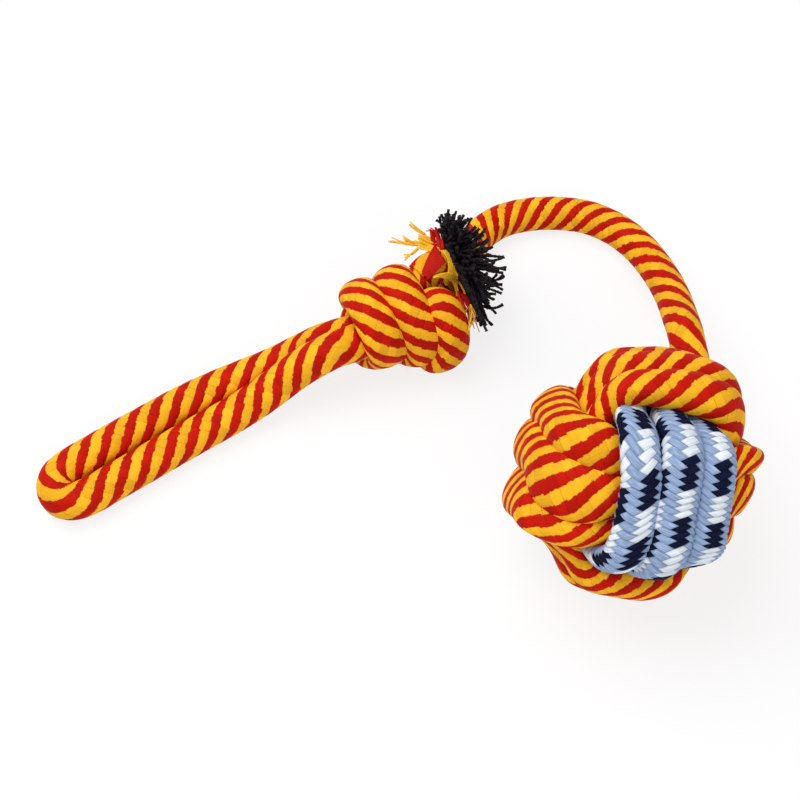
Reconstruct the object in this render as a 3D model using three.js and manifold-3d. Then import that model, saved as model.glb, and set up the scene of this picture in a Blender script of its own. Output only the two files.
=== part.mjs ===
// Rope dog toy, lying as it was put down: a doubled rope handle, the knot that holds it with
// the rope's frayed end, a free neck of rope, and a ball wound over a packed core.
// Millimetres, +Z up; the origin is on the floor under the middle of the toy.

import * as THREE from "three";
import { mergeVertices } from "three/addons/utils/BufferGeometryUtils.js";
import Module from "manifold-3d";

// The rope: a braided cover over a bundle of core yarns
const ROPE_DIAMETER = 12.5;
const COVER_WALL = 2.2;
const COVER_CLEARANCE = 0.3;
const FACE_GAP = 0.4;

// The ball: three windings at right angles round a packed core
const STRAND_WIDTH = 10.8;
const STRAND_THICKNESS = 9.4;
const STRAND_SPACING = 0.6;
const CROSSING_GAP = 1.3;
const CORE_GAP = 0.4;
const BALL_TURNS = 3;
const CROWN_DROP = 1.8;
const LOOP_SQUARENESS = 4.5;
const TUCK_REACH = 17;
const TUCK_WIDTH = 9.6;
const ROOT_DEPTH = 31.5;
const ROOT_BEND_DEPTH = 40;
const ROOT_CLEARANCE = 0.4;

// The knot: rope wound over its own end and over the strand that runs through it
const SQUEEZED_DIAMETER = 7.2;
const SQUEEZED_GAP = 0.5;
const WRAP_WIDTH = 12.4;
const WRAP_THICKNESS = 9;
const WRAP_SPACING = 0.8;
const WRAP_GAP = 0.5;
const WRAP_SWEEP = 960;
const NEAR_STRAND = 45;
const TAIL_STRAND = NEAR_STRAND + WRAP_SWEEP;
const THROUGH_STRAND = 165;

// How the strand climbs from the middle of the knot onto its wraps: the reach past the last
// wrap, the share of the rise, the turn in degrees, its width and thickness, and how far it
// still faces away from the strands beside it
const CLIMB = [
  [-9, 0, 0, SQUEEZED_DIAMETER, SQUEEZED_DIAMETER, 1],
  [-4.5, 0.04, 2, SQUEEZED_DIAMETER, SQUEEZED_DIAMETER, 1],
  [-0.8, 0.4, 12, 8.4, 8, 1],
  [0.6, 0.83, 36, 10.2, 8.8, 0.5],
];
const CLIMB_SWEEP = 70;

// How a strand swells as it leaves the knot: steps back from the mouth, the share of the
// spread and the share of the swelling
const MOUTH_STEP = 2.5;
const SWELLING = [
  [4, 0, 0],
  [2, 0.5, 0.25],
  [1, 1, 0.75],
  [0, 1, 1],
];
const HANDLE_MOUTH = 27;
const NECK_MOUTH = 26;
const MOUTH_SPREAD = 7.5;
const TAIL_MOUTH = 17;
const TAIL_SPREAD = 6.4;
const TAIL_DIAMETER = 11;

// The rope's cut end: torn cover round a mop of core yarns
const TAIL_STRAIGHT = 2.5;
const TAIL_STUB = 5;
const TORN_COVER_REACH = 7.5;
const TORN_COVER_RISE = 5;
const TORN_COVER_THICKNESS = 0.9;
const TORN_TONGUES = 9;
const TORN_NOTCH = 0.55;
const TASSEL_RADIUS = 19;
const TASSEL_HEIGHT = 25;
const TASSEL_LIFT = 1.6;
const TASSEL_CROWN = [
  [1, 0.6],
  [0.78, 0.86],
  [0.4, 0.97],
];

// Where the parts lie
const BALL_FRONT = new THREE.Vector3(0.16, -0.6, 0.79);
const BALL_TOP = new THREE.Vector3(0.23, 0.8, 0.56);
const KNOT_CENTRE = new THREE.Vector3(-76.5, 76.5, 0);
const KNOT_HEADING = 26;
const KNOT_LEAN = 30;
const TAIL_HEADING = new THREE.Vector3(0.66, -0.1, 0.74);
const FLOOR_SIZE = 800;
const FLAT_DEPTH = 0.5;
const CORD_FLAT_DEPTH = ROPE_DIAMETER / 10;
const CORD_HEIGHT = ROPE_DIAMETER / 2 - CORD_FLAT_DEPTH;

// The bends that move: the rope's round end turns in the next length's hollow end
const BEND_CLEARANCE = 0.9;

// The handle's route from the knot's near strand round the end of the loop and back, the ball
// at zero, with the heights of the points that lie on the floor left out
const HANDLE_POINTS = [
  [-110.5, 53.4, 14.4],
  [-118, 50.2, 10.8],
  [-126, 46, 7.6],
  [-135, 40.8, 5.7],
  [-144, 35.6],
  [-156, 27.6],
  [-167, 20.2],
  [-176, 14.2],
  [-183, 9.6],
  [-188.6, 7.2],
  [-193.6, 8],
  [-196.4, 12],
  [-195.8, 17],
  [-192, 21.2],
  [-184.4, 26.4],
  [-175, 32.6],
  [-164, 39.8],
  [-152.5, 47.2],
  [-141, 54.2],
  [-130.5, 59.8],
  [-121, 63.6, 6.6],
  [-112, 66.9, 8.9],
];
const NEAR_BEND = 2;
const FAR_BEND = 19;

// The neck's route from the knot's through strand, along the floor, up to the ball
const NECK_POINTS = [
  [-48, 98.6, 11.8],
  [-44.6, 108.6, 9.2],
  [-41, 118, 6.8],
  [-34.2, 124.4, 5.4],
  [-25.2, 128.2],
  [-15, 129],
  [-5, 126],
  [3.4, 120, 5.8],
  [10, 111.4, 7.8],
  [15.2, 100, 11.6],
  [19, 86, 17.4],
  [21.6, 71, 25],
  [22.6, 57, 31.5],
];
const SWING_BEND = 4;
const LIFT_BEND = 8;

// How many points of a route lie before the chosen ones, in and next to the knot
const ROUTE_LEAD = 3;

// How finely the shapes are cut up
const CORD_SIDES = 10;
const STRAND_SIDES = 8;
const STEPS_PER_TURN = 24;
const SMOOTH_STEPS = 2;
const ARC_STEPS = 720;
const BEND_SIDES = 12;
const CORE_DETAIL = 3;
const TASSEL_SIDES = 18;
const WELD = 1e-3;
const ROUNDING = 1e-9;

const UP = new THREE.Vector3(0, 0, 1);
const radians = THREE.MathUtils.degToRad;

const striped = { color: 0xc01c0b, roughness: 0.75, metalness: 0 };
const stripedDeep = { color: 0xb01b0a, roughness: 0.75, metalness: 0 };
const yellow = { color: 0xf7b529, roughness: 0.75, metalness: 0 };
const blue = { color: 0x92a8c8, roughness: 0.8, metalness: 0 };
const yarn = { color: 0x190e11, roughness: 0.95, metalness: 0 };

const wasm = await Module();
wasm.setup();

function solidOf(geometry) {
  const shell = geometry.clone();
  shell.deleteAttribute("normal");
  shell.deleteAttribute("uv");
  const merged = mergeVertices(shell, WELD);
  return new wasm.Manifold(
    new wasm.Mesh({
      numProp: 3,
      vertProperties: new Float32Array(merged.attributes.position.array),
      triVerts: new Uint32Array(merged.index.array),
    }),
  );
}

function geometryOf(solid) {
  const mesh = solid.getMesh();
  const geometry = new THREE.BufferGeometry();
  geometry.setAttribute("position", new THREE.BufferAttribute(mesh.vertProperties, 3));
  geometry.setIndex(new THREE.BufferAttribute(mesh.triVerts, 1));
  geometry.computeVertexNormals();
  return geometry;
}

function addPiece(group, name, geometry, look) {
  const piece = new THREE.Mesh(geometry, new THREE.MeshStandardMaterial(look));
  piece.name = name;
  group.add(piece);
  return piece;
}

// The floor takes a flat off whatever lies on it
function restOnFloor(solid, matrix) {
  const floor = new THREE.BoxGeometry(FLOOR_SIZE, FLOOR_SIZE, FLOOR_SIZE);
  floor.translate(0, 0, -FLOOR_SIZE / 2);
  floor.applyMatrix4(matrix.clone().invert());
  return solid.subtract(solidOf(floor));
}

// A strand drawn through stations: each has its place, the way its outer side faces, and
// its width and thickness
function ringPoints(station, tangent) {
  const out = station.outward.clone().addScaledVector(tangent, -station.outward.dot(tangent));
  out.normalize();
  const side = tangent.clone().cross(out);
  return Array.from({ length: STRAND_SIDES }, (unused, corner) => {
    const angle = (2 * Math.PI * (corner + 0.5)) / STRAND_SIDES;
    const point = station.at.clone();
    point.addScaledVector(out, 0.5 * station.thick * Math.cos(angle));
    return point.addScaledVector(side, 0.5 * station.wide * Math.sin(angle));
  });
}

function strandRings(stations) {
  return stations.map((station, index) => {
    const before = stations[Math.max(index - 1, 0)].at;
    const after = stations[Math.min(index + 1, stations.length - 1)].at;
    return ringPoints(station, after.clone().sub(before).normalize());
  });
}

function strandGeometry(stations) {
  const rings = strandRings(stations);
  const triangles = [];
  rings.slice(1).forEach((ring, index) => {
    const start = index * STRAND_SIDES;
    for (let corner = 0; corner < STRAND_SIDES; corner++) {
      const next = (corner + 1) % STRAND_SIDES;
      const ahead = start + STRAND_SIDES;
      triangles.push(start + corner, start + next, ahead + next);
      triangles.push(start + corner, ahead + next, ahead + corner);
    }
  });
  const last = (rings.length - 1) * STRAND_SIDES;
  for (let corner = 1; corner < STRAND_SIDES - 1; corner++) {
    triangles.push(0, corner + 1, corner);
    triangles.push(last, last + corner, last + corner + 1);
  }
  const geometry = new THREE.BufferGeometry();
  const places = rings.flat().flatMap((point) => point.toArray());
  geometry.setAttribute("position", new THREE.Float32BufferAttribute(places, 3));
  geometry.setIndex(triangles);
  return geometry;
}

// The least distance between ring points of one strand that lie well apart along it
function leastSelfGap(stations, apart) {
  const rings = strandRings(stations);
  let least = Infinity;
  for (let here = 0; here < rings.length; here++) {
    const others = rings.slice(here + apart).flat();
    for (const point of rings[here]) {
      for (const other of others) {
        least = Math.min(least, point.distanceTo(other));
      }
    }
  }
  return least;
}

// A stretch of a cord's route, stepped by the route's own points
class Stretch extends THREE.Curve {
  constructor(route, from, to) {
    super();
    this.route = route;
    this.from = from;
    this.to = to;
  }

  getPoint(share, target = new THREE.Vector3()) {
    const index = this.from + (this.to - this.from) * share;
    return this.route.getPoint(index / (this.route.points.length - 1), target);
  }

  getUtoTmapping(share) {
    return share;
  }
}

function cordTube(route, diameter, from = 0, to = route.points.length - 1) {
  const outline = Array.from({ length: CORD_SIDES }, (unused, corner) => {
    const angle = (2 * Math.PI * (corner + 0.5)) / CORD_SIDES;
    return new THREE.Vector2(Math.cos(angle), Math.sin(angle)).multiplyScalar(diameter / 2);
  });
  const path = new Stretch(route, from, to);
  const steps = Math.max(2, Math.round(to - from));
  const options = { steps, extrudePath: path, bevelEnabled: false };
  return solidOf(new THREE.ExtrudeGeometry(new THREE.Shape(outline), options));
}

function ballAt(place, radius) {
  const end = new THREE.SphereGeometry(radius, BEND_SIDES, BEND_SIDES / 2);
  return solidOf(end.translate(place.x, place.y, place.z));
}

// Places on the floor take the height of a cord that lies there
function routeOf(points) {
  return points.map(([x, y, z = CORD_HEIGHT]) => new THREE.Vector3(x, y, z));
}

const coverBore = ROPE_DIAMETER - 2 * COVER_WALL;
const yarnBundle = coverBore - 2 * COVER_CLEARANCE;
const roundEnd = ROPE_DIAMETER / 2;
const hollowEnd = roundEnd + BEND_CLEARANCE;

// A length of free rope, cut into its cover and its core
function addRope(group, name, route, from, to, ends) {
  let rope = cordTube(route, ROPE_DIAMETER, from, to);
  for (const index of ends.round) {
    rope = rope.add(ballAt(route.points[index], roundEnd));
  }
  for (const index of ends.hollow) {
    rope = rope.subtract(ballAt(route.points[index], hollowEnd));
  }
  const cover = rope.subtract(cordTube(route, coverBore));
  const core = rope.intersect(cordTube(route, yarnBundle));
  addPiece(group, `${name}_cover`, geometryOf(restOnFloor(cover, group.matrixWorld)), striped);
  addPiece(group, `${name}_core`, geometryOf(core), yarn);
}

const toy = new THREE.Group();

// The ball's windings: each loop shows on two faces and passes under its neighbour on the
// next two, where it steps sideways to the next turn
const strandPitch = STRAND_WIDTH + STRAND_SPACING;
const sideInnerReach = strandPitch + (STRAND_WIDTH + STRAND_THICKNESS) / 2 + CROSSING_GAP;
const innerReach = sideInnerReach + CROWN_DROP;
const coreRadius = innerReach - STRAND_THICKNESS / 2 - CORE_GAP;
const crossing = sideInnerReach + STRAND_THICKNESS + CROSSING_GAP;
const sideFall = 1 - (strandPitch / sideInnerReach) ** LOOP_SQUARENESS;
const outerReach = CROWN_DROP + crossing / sideFall ** (1 / LOOP_SQUARENESS);

const rounded = (value) => Math.sign(value) * Math.abs(value) ** (2 / LOOP_SQUARENESS);

class Winding extends THREE.Curve {
  constructor() {
    super();
    this.arcLengthDivisions = ARC_STEPS;
    const tuck = Math.acos((TUCK_REACH / outerReach) ** (LOOP_SQUARENESS / 2));
    this.first = -tuck;
    this.last = 2 * Math.PI * (BALL_TURNS - 1) + Math.PI + tuck;
  }

  // Turns are counted from the middle one; the step to the next is made under the neighbour
  turnAt(angle) {
    const whole = Math.floor((angle + Math.PI / 2) / (2 * Math.PI) + ROUNDING);
    const turn = whole - (BALL_TURNS - 1) / 2;
    const ahead = outerReach * rounded(Math.cos(angle));
    if (Math.sin(angle) > 0 || Math.abs(ahead) > TUCK_REACH) {
      return turn;
    }
    const share = ahead / (2 * TUCK_REACH);
    return turn + share + (ahead < 0 ? 0.5 : -0.5);
  }

  getPoint(share, target = new THREE.Vector3()) {
    const angle = this.first + (this.last - this.first) * share;
    const turn = this.turnAt(angle);
    const drop = CROWN_DROP * Math.min(1, Math.abs(turn));
    const outer = (outerReach - drop) * rounded(Math.cos(angle));
    const inner = (innerReach - drop) * rounded(Math.sin(angle));
    return target.set(outer, inner, turn * strandPitch);
  }
}

function windingStations(clearance) {
  const winding = new Winding();
  const turns = (winding.last - winding.first) / (2 * Math.PI);
  const steps = Math.round(STEPS_PER_TURN * turns);
  return winding.getSpacedPoints(steps).map((at) => {
    const tucked = at.y < 0 && Math.abs(at.x) < TUCK_REACH;
    return {
      at,
      outward: new THREE.Vector3(at.x, at.y, 0),
      wide: (tucked ? TUCK_WIDTH : STRAND_WIDTH) + 2 * clearance,
      thick: STRAND_THICKNESS + 2 * clearance,
    };
  });
}

const ball = new THREE.Group();
const ballFront = BALL_FRONT.clone().normalize();
const ballLeft = ballFront.clone().cross(BALL_TOP).normalize();
const ballTop = ballLeft.clone().cross(ballFront);
ball.quaternion.setFromRotationMatrix(new THREE.Matrix4().makeBasis(ballFront, ballTop, ballLeft));
toy.add(ball);
const windings = [
  ["blue_winding", 0, blue],
  ["cap_winding", 1, striped],
  ["side_winding", 2, stripedDeep],
];
const stations = windingStations(0);
const strand = strandGeometry(stations);
const diagonal = new THREE.Vector3(1, 1, 1).normalize();
for (const [name, place, look] of windings) {
  const winding = addPiece(ball, name, strand, look);
  winding.quaternion.setFromAxisAngle(diagonal, (place * 2 * Math.PI) / windings.length);
}
addPiece(ball, "ball_core", new THREE.IcosahedronGeometry(coreRadius, CORE_DETAIL), yarn);
const lowest = new THREE.Box3().setFromObject(ball, true).min.z;
ball.position.z = -lowest - FLAT_DEPTH;
toy.updateMatrixWorld(true);
for (const [name] of windings) {
  const winding = ball.getObjectByName(name);
  winding.geometry = geometryOf(restOnFloor(solidOf(strand), winding.matrixWorld));
}
const windingGap = leastSelfGap(stations, STEPS_PER_TURN / 2);
console.log("each ball winding: least gap to itself", windingGap.toFixed(2), "mm");

// The knot's own axes: x along it, y to the side that faces up, z to the handle's near side
const knot = new THREE.Group();
const axis = new THREE.Vector3(1, 0, 0).applyAxisAngle(UP, radians(KNOT_HEADING));
const upper = UP.clone().applyAxisAngle(axis, radians(KNOT_LEAN));
const nearer = axis.clone().cross(upper);
knot.quaternion.setFromRotationMatrix(new THREE.Matrix4().makeBasis(axis, upper, nearer));
const strandRing = (SQUEEZED_DIAMETER + SQUEEZED_GAP) / Math.sqrt(3);
const wrapRing = strandRing + SQUEEZED_DIAMETER / 2 + WRAP_GAP + WRAP_THICKNESS / 2;
const wrapPitch = WRAP_WIDTH + WRAP_SPACING;
knot.position.copy(KNOT_CENTRE).setZ(wrapRing + WRAP_THICKNESS / 2 - FLAT_DEPTH);
toy.add(knot);
toy.updateMatrixWorld(true);

function knotPoint(along, out, angle) {
  const turn = radians(angle);
  return new THREE.Vector3(along, out * Math.cos(turn), out * Math.sin(turn));
}

function knotStation(along, out, angle, wide, thick, lean) {
  const turn = radians(angle);
  return {
    at: knotPoint(along, out, angle),
    outward: new THREE.Vector3(
      0,
      Math.cos(turn) - lean * Math.sin(turn),
      Math.sin(turn) + lean * Math.cos(turn),
    ),
    wide,
    thick,
  };
}

function smoothStations(controls, perSpan = SMOOTH_STEPS) {
  const path = new THREE.CatmullRomCurve3(controls.map((control) => control.at));
  const count = (controls.length - 1) * perSpan;
  return Array.from({ length: count + 1 }, (unused, index) => {
    const low = Math.min(Math.floor(index / perSpan), controls.length - 2);
    const share = index / perSpan - low;
    const between = (key) => THREE.MathUtils.lerp(controls[low][key], controls[low + 1][key], share);
    return {
      at: path.getPoint(index / count),
      outward: controls[low].outward.clone().lerp(controls[low + 1].outward, share),
      wide: between("wide"),
      thick: between("thick"),
    };
  });
}

// Half of the wound strand, seen from the end it comes in by: in along the middle of the knot,
// out past the last wrap, and up onto the wraps
const wrapHalf = (wrapPitch * (WRAP_SWEEP - 2 * CLIMB_SWEEP)) / 720;
function climb(side) {
  const from = side > 0 ? NEAR_STRAND : TAIL_STRAND;
  return CLIMB.map(([reach, share, turn, wide, thick, lean]) => {
    const out = THREE.MathUtils.lerp(strandRing, wrapRing, share);
    const along = side * (wrapHalf + reach);
    return knotStation(along, out, from + side * turn, wide, thick, -side * lean);
  });
}

function wraps() {
  const count = Math.round(((WRAP_SWEEP - 2 * CLIMB_SWEEP) / 360) * STEPS_PER_TURN);
  return Array.from({ length: count + 1 }, (unused, index) => {
    const share = index / count;
    const angle = NEAR_STRAND + CLIMB_SWEEP + share * (WRAP_SWEEP - 2 * CLIMB_SWEEP);
    const along = wrapHalf * (1 - 2 * share);
    return knotStation(along, wrapRing, angle, WRAP_WIDTH, WRAP_THICKNESS, 0);
  });
}

function straightStrand(angle, places, lean) {
  return places.map(([along, out, diameter]) =>
    knotStation(along, out, angle, diameter, diameter, lean),
  );
}

function swelling(side, reach, spread, diameter) {
  return SWELLING.map(([steps, spreadShare, swellShare]) => [
    side * (reach - steps * MOUTH_STEP),
    THREE.MathUtils.lerp(strandRing, spread, spreadShare),
    THREE.MathUtils.lerp(SQUEEZED_DIAMETER, diameter, swellShare),
  ]);
}

const handleMouth = swelling(-1, HANDLE_MOUTH, MOUTH_SPREAD, ROPE_DIAMETER).reverse();
const neckMouth = swelling(1, NECK_MOUTH, MOUTH_SPREAD, ROPE_DIAMETER);
const tailMouth = swelling(1, TAIL_MOUTH, TAIL_SPREAD, TAIL_DIAMETER);
const middle = [0, strandRing, SQUEEZED_DIAMETER];
const wrapStations = wraps();
const knotStations = [
  ...smoothStations(straightStrand(NEAR_STRAND, [...handleMouth, middle], -1), 1),
  ...smoothStations([...climb(1), ...wrapStations.slice(0, 2)]).slice(0, -SMOOTH_STEPS - 1),
  ...wrapStations,
  ...smoothStations([...wrapStations.slice(-2), ...climb(-1).reverse()]).slice(SMOOTH_STEPS + 1),
  ...smoothStations(straightStrand(TAIL_STRAND, [middle, ...tailMouth], 1), 1),
];
const knotTurns = restOnFloor(solidOf(strandGeometry(knotStations)), knot.matrixWorld);
addPiece(knot, "knot_turns", geometryOf(knotTurns), striped);
const knotGap = leastSelfGap(knotStations, STEPS_PER_TURN / 2);
console.log("knot turns: least gap to itself", knotGap.toFixed(2), "mm");

const throughPlaces = [...handleMouth, middle, ...neckMouth];
const throughStations = smoothStations(straightStrand(THROUGH_STRAND, throughPlaces, 0));
addPiece(knot, "knot_through_strand", strandGeometry(throughStations), stripedDeep);

// The free ropes start and end inside the strands that they go on as, and are cut there
const floorGroup = new THREE.Group();
toy.add(floorGroup);
function lead(side, reach, angle) {
  const places = [reach - ROPE_DIAMETER, reach + FACE_GAP, reach + MOUTH_STEP];
  return places.map((along) =>
    knotPoint(side * along, MOUTH_SPREAD, angle).applyMatrix4(knot.matrixWorld),
  );
}

const handleRoute = new THREE.CatmullRomCurve3([
  ...lead(-1, HANDLE_MOUTH, NEAR_STRAND),
  ...routeOf(HANDLE_POINTS),
  ...lead(-1, HANDLE_MOUTH, THROUGH_STRAND).reverse(),
]);
const handleEnd = handleRoute.points.length - 2;
const nearBend = ROUTE_LEAD + NEAR_BEND;
const farBend = ROUTE_LEAD + FAR_BEND;
addRope(floorGroup, "near_leg", handleRoute, 1, nearBend, { round: [nearBend], hollow: [] });
addRope(floorGroup, "far_leg", handleRoute, farBend, handleEnd, { round: [farBend], hollow: [] });
addRope(floorGroup, "handle_loop", handleRoute, nearBend, farBend, {
  round: [],
  hollow: [nearBend, farBend],
});

const ballCorner = (depth) =>
  new THREE.Vector3(-1, 1, -1).setLength(depth).applyMatrix4(ball.matrixWorld);
const neckRoute = new THREE.CatmullRomCurve3([
  ...lead(1, NECK_MOUTH, THROUGH_STRAND),
  ...routeOf(NECK_POINTS),
  ballCorner(ROOT_BEND_DEPTH),
  ballCorner(ROOT_DEPTH),
]);
const neckEnd = neckRoute.points.length - 3;
const swingBend = ROUTE_LEAD + SWING_BEND;
const liftBend = ROUTE_LEAD + LIFT_BEND;
addRope(floorGroup, "neck_knot", neckRoute, 1, swingBend, { round: [swingBend], hollow: [] });
addRope(floorGroup, "neck_middle", neckRoute, swingBend, liftBend, {
  round: [liftBend],
  hollow: [swingBend],
});
addRope(floorGroup, "neck_ball", neckRoute, liftBend, neckEnd, { round: [], hollow: [liftBend] });

// The neck's end goes in at a corner of the ball, squeezed between the windings
const rootSpan = neckRoute.points[neckEnd].distanceTo(neckRoute.points[neckEnd + 1]);
const rootFrom = neckEnd + FACE_GAP / rootSpan;
const seat = strandGeometry(windingStations(ROOT_CLEARANCE));
let neckRoot = cordTube(neckRoute, ROPE_DIAMETER, rootFrom, neckEnd + 2);
for (const [name] of windings) {
  const winding = ball.getObjectByName(name);
  neckRoot = neckRoot.subtract(solidOf(seat.clone().applyMatrix4(winding.matrixWorld)));
}
const rootBodies = neckRoot.decompose().sort((a, b) => b.volume() - a.volume());
addPiece(floorGroup, "neck_root", geometryOf(rootBodies[0]), striped);

// The tail: the rope's cut end, standing up from the knot
const tailFrom = knotPoint(TAIL_MOUTH + FACE_GAP, TAIL_SPREAD, TAIL_STRAND);
tailFrom.applyMatrix4(knot.matrixWorld);
const tailWay = TAIL_HEADING.clone().normalize();
const tailBend = tailFrom.clone().addScaledVector(axis, TAIL_STRAIGHT);
const tailCut = tailBend.clone().addScaledVector(tailWay, TAIL_STUB);
const tailRoute = new THREE.CatmullRomCurve3([
  tailFrom.clone().addScaledVector(axis, -TAIL_STUB),
  tailFrom,
  tailBend,
  tailCut,
  tailCut.clone().addScaledVector(tailWay, TAIL_STUB),
]);
const tail = cordTube(tailRoute, TAIL_DIAMETER, 1, 3);
const tailBore = TAIL_DIAMETER - 2 * COVER_WALL;
const tailCover = tail.subtract(cordTube(tailRoute, tailBore));
const tailCore = tail.intersect(cordTube(tailRoute, tailBore - 2 * COVER_CLEARANCE));
addPiece(floorGroup, "tail_cover", geometryOf(tailCover), striped);
addPiece(floorGroup, "tail_core", geometryOf(tailCore), yarn);

// Torn tongues of cover spread under the mop of yarns
const cutEnd = new THREE.Group();
cutEnd.position.copy(tailCut);
cutEnd.quaternion.setFromUnitVectors(UP, tailWay);
toy.add(cutEnd);

function tornCover() {
  const inside = tailBore / 2;
  const count = 2 * TORN_TONGUES;
  const corners = [];
  const triangles = [];
  for (let step = 0; step < count; step++) {
    const angle = (2 * Math.PI * step) / count;
    const reach = TORN_COVER_REACH * (step % 2 ? TORN_NOTCH : 1);
    const rise = FACE_GAP + TORN_COVER_RISE * (reach / TORN_COVER_REACH);
    const profile = [
      [inside, FACE_GAP],
      [inside + reach, rise],
      [inside + reach, rise + TORN_COVER_THICKNESS],
      [inside, FACE_GAP + TORN_COVER_THICKNESS],
    ];
    for (const [out, up] of profile) {
      corners.push(out * Math.cos(angle), out * Math.sin(angle), up);
    }
    const here = step * profile.length;
    const next = ((step + 1) % count) * profile.length;
    for (let side = 0; side < profile.length; side++) {
      const far = (side + 1) % profile.length;
      triangles.push(here + side, next + side, next + far);
      triangles.push(here + side, next + far, here + far);
    }
  }
  const geometry = new THREE.BufferGeometry();
  geometry.setAttribute("position", new THREE.Float32BufferAttribute(corners, 3));
  geometry.setIndex(triangles);
  return geometry;
}
addPiece(cutEnd, "torn_cover", tornCover(), yellow);

// The mop of yarns: a stalk inside the torn cover that opens over its tongues
const stalk = tailBore / 2 - COVER_CLEARANCE;
const tornTop = FACE_GAP + TORN_COVER_RISE + TORN_COVER_THICKNESS;
const mop = new THREE.SplineCurve([
  new THREE.Vector2(stalk, FACE_GAP),
  new THREE.Vector2(stalk, FACE_GAP + 2 * TORN_COVER_THICKNESS),
  new THREE.Vector2(tailBore / 2 + TORN_COVER_REACH, tornTop + TASSEL_LIFT),
  ...TASSEL_CROWN.map(
    ([out, up]) => new THREE.Vector2(out * TASSEL_RADIUS, up * TASSEL_HEIGHT),
  ),
]);
const mopProfile = [
  new THREE.Vector2(0, FACE_GAP),
  ...mop.getPoints(SMOOTH_STEPS * mop.points.length),
  new THREE.Vector2(0, TASSEL_HEIGHT),
];
const tassel = new THREE.LatheGeometry(mopProfile, TASSEL_SIDES).rotateX(Math.PI / 2);
addPiece(cutEnd, "yarn_tassel", tassel, yarn);

// The origin goes under the middle of the toy
const extent = new THREE.Box3().setFromObject(toy, true);
const centre = extent.getCenter(new THREE.Vector3());
toy.position.set(-centre.x, -centre.y, -extent.min.z);

export default toy;
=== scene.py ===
import math
import random

import bpy
import numpy as np
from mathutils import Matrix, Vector
from mathutils.bvhtree import BVHTree


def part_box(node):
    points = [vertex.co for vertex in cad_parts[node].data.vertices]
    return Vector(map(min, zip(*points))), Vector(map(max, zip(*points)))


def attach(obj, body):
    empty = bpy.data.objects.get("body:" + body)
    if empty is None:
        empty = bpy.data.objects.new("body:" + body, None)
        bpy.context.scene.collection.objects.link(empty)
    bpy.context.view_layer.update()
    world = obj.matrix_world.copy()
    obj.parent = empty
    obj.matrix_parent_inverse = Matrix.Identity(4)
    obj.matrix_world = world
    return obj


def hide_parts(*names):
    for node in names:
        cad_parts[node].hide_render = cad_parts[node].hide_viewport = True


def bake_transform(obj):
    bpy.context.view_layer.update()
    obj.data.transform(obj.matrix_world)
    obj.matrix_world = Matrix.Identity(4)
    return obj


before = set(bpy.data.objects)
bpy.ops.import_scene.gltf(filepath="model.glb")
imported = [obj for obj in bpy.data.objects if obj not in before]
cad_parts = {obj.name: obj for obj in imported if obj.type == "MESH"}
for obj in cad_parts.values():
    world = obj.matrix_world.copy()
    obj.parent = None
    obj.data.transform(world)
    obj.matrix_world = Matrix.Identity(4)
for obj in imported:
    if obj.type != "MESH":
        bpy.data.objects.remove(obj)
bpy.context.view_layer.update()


# The view: the toy lies on a white table and is seen from in front and from well above.
# Places are measured from the point of the table that is under the middle of the ball.
core_low, core_high = (np.array(corner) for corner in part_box("ball_core"))
ball_middle = (core_low + core_high) / 2
under_ball = ball_middle * (1, 1, 0)

VIEW_ELEVATION = math.radians(60)
VIEW_DISTANCE = 0.65
VIEW_WIDTH = 0.276
VIEW_TARGET = np.array((-0.0762, 0.0400, 0.020))
FILM_WIDTH = 36.0

lens = bpy.data.cameras.new("view")
lens.sensor_width = FILM_WIDTH
lens.lens = FILM_WIDTH * VIEW_DISTANCE / VIEW_WIDTH
camera = bpy.data.objects.new("view", lens)
bpy.context.collection.objects.link(camera)
towards_viewer = np.array((0, -math.cos(VIEW_ELEVATION), math.sin(VIEW_ELEVATION)))
camera.location = under_ball + VIEW_TARGET + VIEW_DISTANCE * towards_viewer
camera.rotation_euler = (math.pi / 2 - VIEW_ELEVATION, 0, 0)
bpy.context.scene.camera = camera


# The handle: one length of striped rope, doubled into a long loop that lies on the table.
# Its cover is braided from red and yellow carriers over a yarn core, so the stripes run round
# it in a steep spiral. Both ends go into the knot.
ROPE = 0.0125
LYING = 0.0053
STRIPES = 4
SPIRAL = 3.0 * ROPE
RIB = 0.00014
ROPE_SIDES = 60
ROPE_STEP = 0.0006
TABLE_GIVE = 0.0009

KNOT_AXIS = np.array((0.8988, 0.4384, 0.0))
KNOT_UPPER = np.array((0.2192, -0.4494, 0.8660))
KNOT_NEARER = np.cross(KNOT_AXIS, KNOT_UPPER)
KNOT_MIDDLE = under_ball + (-0.0765, 0.0765, 0.01705)


def knot_side(degrees):
    turn = math.radians(degrees)
    return math.cos(turn) * KNOT_UPPER + math.sin(turn) * KNOT_NEARER


def in_knot(along, out, degrees):
    return KNOT_MIDDLE + along * KNOT_AXIS + out * knot_side(degrees)


def on_table(points):
    return [under_ball + (x, y, z[0] if z else LYING) for x, y, *z in points]


def reaches(line):
    """How far along the line each of its points is."""
    return np.concatenate([[0], np.cumsum(np.linalg.norm(np.diff(line, axis=0), axis=1))])


def evenly(spacing, line, *carried):
    """The line in equal steps, with whatever is carried along it."""
    reach = reaches(line)
    places = np.linspace(0, reach[-1], max(2, round(reach[-1] / spacing)) + 1)
    return [
        np.stack([np.interp(places, reach, column) for column in np.array(rows).T], axis=1)
        for rows in (line, *carried)
    ]


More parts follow.
